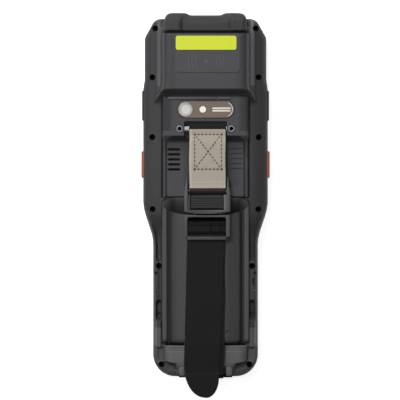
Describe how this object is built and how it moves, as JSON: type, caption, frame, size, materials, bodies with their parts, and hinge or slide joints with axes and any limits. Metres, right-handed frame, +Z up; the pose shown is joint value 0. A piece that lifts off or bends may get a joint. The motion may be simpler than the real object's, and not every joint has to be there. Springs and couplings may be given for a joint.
{
  "type": "barcode data terminal",
  "caption": "Rugged handheld barcode data terminal with keypad, screen, scan keys, tilt-out battery and a hand strap with a snap clip, resting on its screen side.",
  "frame": {"origin": "on the rest plane (the rim around the screen), in the middle of the overall width and length", "axes": "+Z up through the back, +Y towards the scan window's end, +X to the right seen from the back"},
  "size_m": [0.0746, 0.2232, 0.0331],
  "materials": {
    "housing_plastic": "matte",
    "bumper_rubber": "matte",
    "seal_rubber": "matte",
    "mat_rubber": "matte",
    "screw_black": "satin",
    "red_window": "gloss",
    "engine_plastic": "matte",
    "antenna_copper": "satin",
    "inlay_film": "matte",
    "yellow_label": "satin",
    "bezel_bronze": "satin",
    "lens_glass": "gloss",
    "flash_diffuser": "gloss",
    "circuit_board": "satin",
    "switch_steel": "satin",
    "panel_steel": "satin",
    "display_glass": "gloss",
    "contact_gold": "satin",
    "bar_steel": "satin",
    "strap_webbing": "matte",
    "grey_webbing": "matte",
    "clip_plastic": "satin",
    "button_plastic": "matte",
    "battery_plastic": "matte",
    "cell_wrap": "gloss",
    "orange_key": "satin",
    "dark_key": "satin",
    "number_key": "satin"
  },
  "bodies": {
    "body": {"rear_housing": "housing_plastic", "front_housing": "housing_plastic", "housing_seal": "seal_rubber", "top_bumper": "bumper_rubber", "bottom_cap": "bumper_rubber", "housing_screws": "screw_black", "scan_window": "red_window", "scan_engine": "engine_plastic", "reader_antenna": "antenna_copper", "hump_inlay": "inlay_film", "blank_label": "yellow_label", "camera_bezel": "bezel_bronze", "camera_lens": "lens_glass", "flash_lens": "flash_diffuser", "camera_module": "engine_plastic", "speaker": "engine_plastic", "main_board": "circuit_board", "side_switches": "switch_steel", "display_glass": "display_glass", "display_panel": "panel_steel", "keypad_mat": "mat_rubber", "keypad_board": "circuit_board", "battery_contacts": "contact_gold", "dock_contacts": "contact_gold", "strap_bar": "bar_steel", "bar_screws": "bar_steel", "strap_pin": "bar_steel"},
    "strap_upper": {"webbing_core": "strap_webbing", "webbing_tab": "grey_webbing", "strap_clip": "clip_plastic", "clip_spring": "switch_steel"},
    "clip_button": {"clip_button": "button_plastic"},
    "strap_lower": {"strap_frame": "clip_plastic", "strap_lower": "strap_webbing", "strap_tail": "strap_webbing"},
    "battery": {"battery_cover": "battery_plastic", "battery_tray": "battery_plastic", "battery_cells": "cell_wrap", "latch_springs": "switch_steel"},
    "battery_latch": {"battery_latch": "button_plastic"},
    "scan_key_left": {"scan_key_left": "orange_key"},
    "scan_key_right": {"scan_key_right": "orange_key"},
    "upper_key_left": {"upper_key_left": "dark_key"},
    "upper_key_right": {"upper_key_right": "dark_key"},
    "function_key_left": {"function_key_left": "dark_key"},
    "scan_key_front": {"scan_key_front": "orange_key"},
    "function_key_right": {"function_key_right": "dark_key"},
    "key_row1_1": {"key_row1_1": "number_key"},
    "key_row1_2": {"key_row1_2": "number_key"},
    "key_row1_3": {"key_row1_3": "number_key"},
    "key_row2_1": {"key_row2_1": "number_key"},
    "key_row2_2": {"key_row2_2": "number_key"},
    "key_row2_3": {"key_row2_3": "number_key"},
    "key_row3_1": {"key_row3_1": "number_key"},
    "key_row3_2": {"key_row3_2": "number_key"},
    "key_row3_3": {"key_row3_3": "number_key"},
    "key_row4_1": {"key_row4_1": "number_key"},
    "key_row4_2": {"key_row4_2": "number_key"},
    "key_row4_3": {"key_row4_3": "number_key"}
  },
  "joints": [
    {"name": "strap_open", "type": "hinge", "parent": "body", "child": "strap_upper", "pos_m": [0, 0.0443, 0.0241], "axis": [-1, 0, 0], "range_deg": [0, 110]},
    {"name": "strap_lower_swing", "type": "hinge", "parent": "body", "child": "strap_lower", "pos_m": [0, -0.0986, 0.0242], "axis": [1, 0, 0], "range_deg": [0, 36]},
    {"name": "battery_tilt", "type": "hinge", "parent": "body", "child": "battery", "pos_m": [0, -0.0804, 0.0245], "axis": [1, 0, 0], "range_deg": [0, 15.5]},
    {"name": "latch_slide", "type": "slide", "parent": "battery", "child": "battery_latch", "axis": [0, -1, 0], "range_m": [0, 0.0022], "stiffness_N_per_m": 400, "deforming": ["latch_springs"]},
    {"name": "clip_press", "type": "slide", "parent": "strap_upper", "child": "clip_button", "axis": [0, 0, -1], "range_m": [0, 0.001], "stiffness_N_per_m": 600, "deforming": ["clip_spring"]},
    {"name": "scan_key_left_press", "type": "slide", "parent": "body", "child": "scan_key_left", "axis": [1, 0, 0], "range_m": [0, 0.0008], "stiffness_N_per_m": 500},
    {"name": "scan_key_right_press", "type": "slide", "parent": "body", "child": "scan_key_right", "axis": [-1, 0, 0], "range_m": [0, 0.0008], "stiffness_N_per_m": 500},
    {"name": "upper_key_left_press", "type": "slide", "parent": "body", "child": "upper_key_left", "axis": [1, 0, 0], "range_m": [0, 0.0008], "stiffness_N_per_m": 500},
    {"name": "upper_key_right_press", "type": "slide", "parent": "body", "child": "upper_key_right", "axis": [-1, 0, 0], "range_m": [0, 0.0008], "stiffness_N_per_m": 500},
    {"name": "function_key_left_press", "type": "slide", "parent": "body", "child": "function_key_left", "axis": [0, 0, 1], "range_m": [0, 0.0005], "stiffness_N_per_m": 400},
    {"name": "scan_key_front_press", "type": "slide", "parent": "body", "child": "scan_key_front", "axis": [0, 0, 1], "range_m": [0, 0.0005], "stiffness_N_per_m": 400},
    {"name": "function_key_right_press", "type": "slide", "parent": "body", "child": "function_key_right", "axis": [0, 0, 1], "range_m": [0, 0.0005], "stiffness_N_per_m": 400},
    {"name": "key_row1_1_press", "type": "slide", "parent": "body", "child": "key_row1_1", "axis": [0, 0, 1], "range_m": [0, 0.0005], "stiffness_N_per_m": 400},
    {"name": "key_row1_2_press", "type": "slide", "parent": "body", "child": "key_row1_2", "axis": [0, 0, 1], "range_m": [0, 0.0005], "stiffness_N_per_m": 400},
    {"name": "key_row1_3_press", "type": "slide", "parent": "body", "child": "key_row1_3", "axis": [0, 0, 1], "range_m": [0, 0.0005], "stiffness_N_per_m": 400},
    {"name": "key_row2_1_press", "type": "slide", "parent": "body", "child": "key_row2_1", "axis": [0, 0, 1], "range_m": [0, 0.0005], "stiffness_N_per_m": 400},
    {"name": "key_row2_2_press", "type": "slide", "parent": "body", "child": "key_row2_2", "axis": [0, 0, 1], "range_m": [0, 0.0005], "stiffness_N_per_m": 400},
    {"name": "key_row2_3_press", "type": "slide", "parent": "body", "child": "key_row2_3", "axis": [0, 0, 1], "range_m": [0, 0.0005], "stiffness_N_per_m": 400},
    {"name": "key_row3_1_press", "type": "slide", "parent": "body", "child": "key_row3_1", "axis": [0, 0, 1], "range_m": [0, 0.0005], "stiffness_N_per_m": 400},
    {"name": "key_row3_2_press", "type": "slide", "parent": "body", "child": "key_row3_2", "axis": [0, 0, 1], "range_m": [0, 0.0005], "stiffness_N_per_m": 400},
    {"name": "key_row3_3_press", "type": "slide", "parent": "body", "child": "key_row3_3", "axis": [0, 0, 1], "range_m": [0, 0.0005], "stiffness_N_per_m": 400},
    {"name": "key_row4_1_press", "type": "slide", "parent": "body", "child": "key_row4_1", "axis": [0, 0, 1], "range_m": [0, 0.0005], "stiffness_N_per_m": 400},
    {"name": "key_row4_2_press", "type": "slide", "parent": "body", "child": "key_row4_2", "axis": [0, 0, 1], "range_m": [0, 0.0005], "stiffness_N_per_m": 400},
    {"name": "key_row4_3_press", "type": "slide", "parent": "body", "child": "key_row4_3", "axis": [0, 0, 1], "range_m": [0, 0.0005], "stiffness_N_per_m": 400}
  ],
  "couplings": [
    {"joint": "strap_lower_swing", "follows": "strap_open", "ratio": 0.32},
    {"joint": "battery_tilt", "follows": "strap_open", "ratio": 0.14}
  ]
}
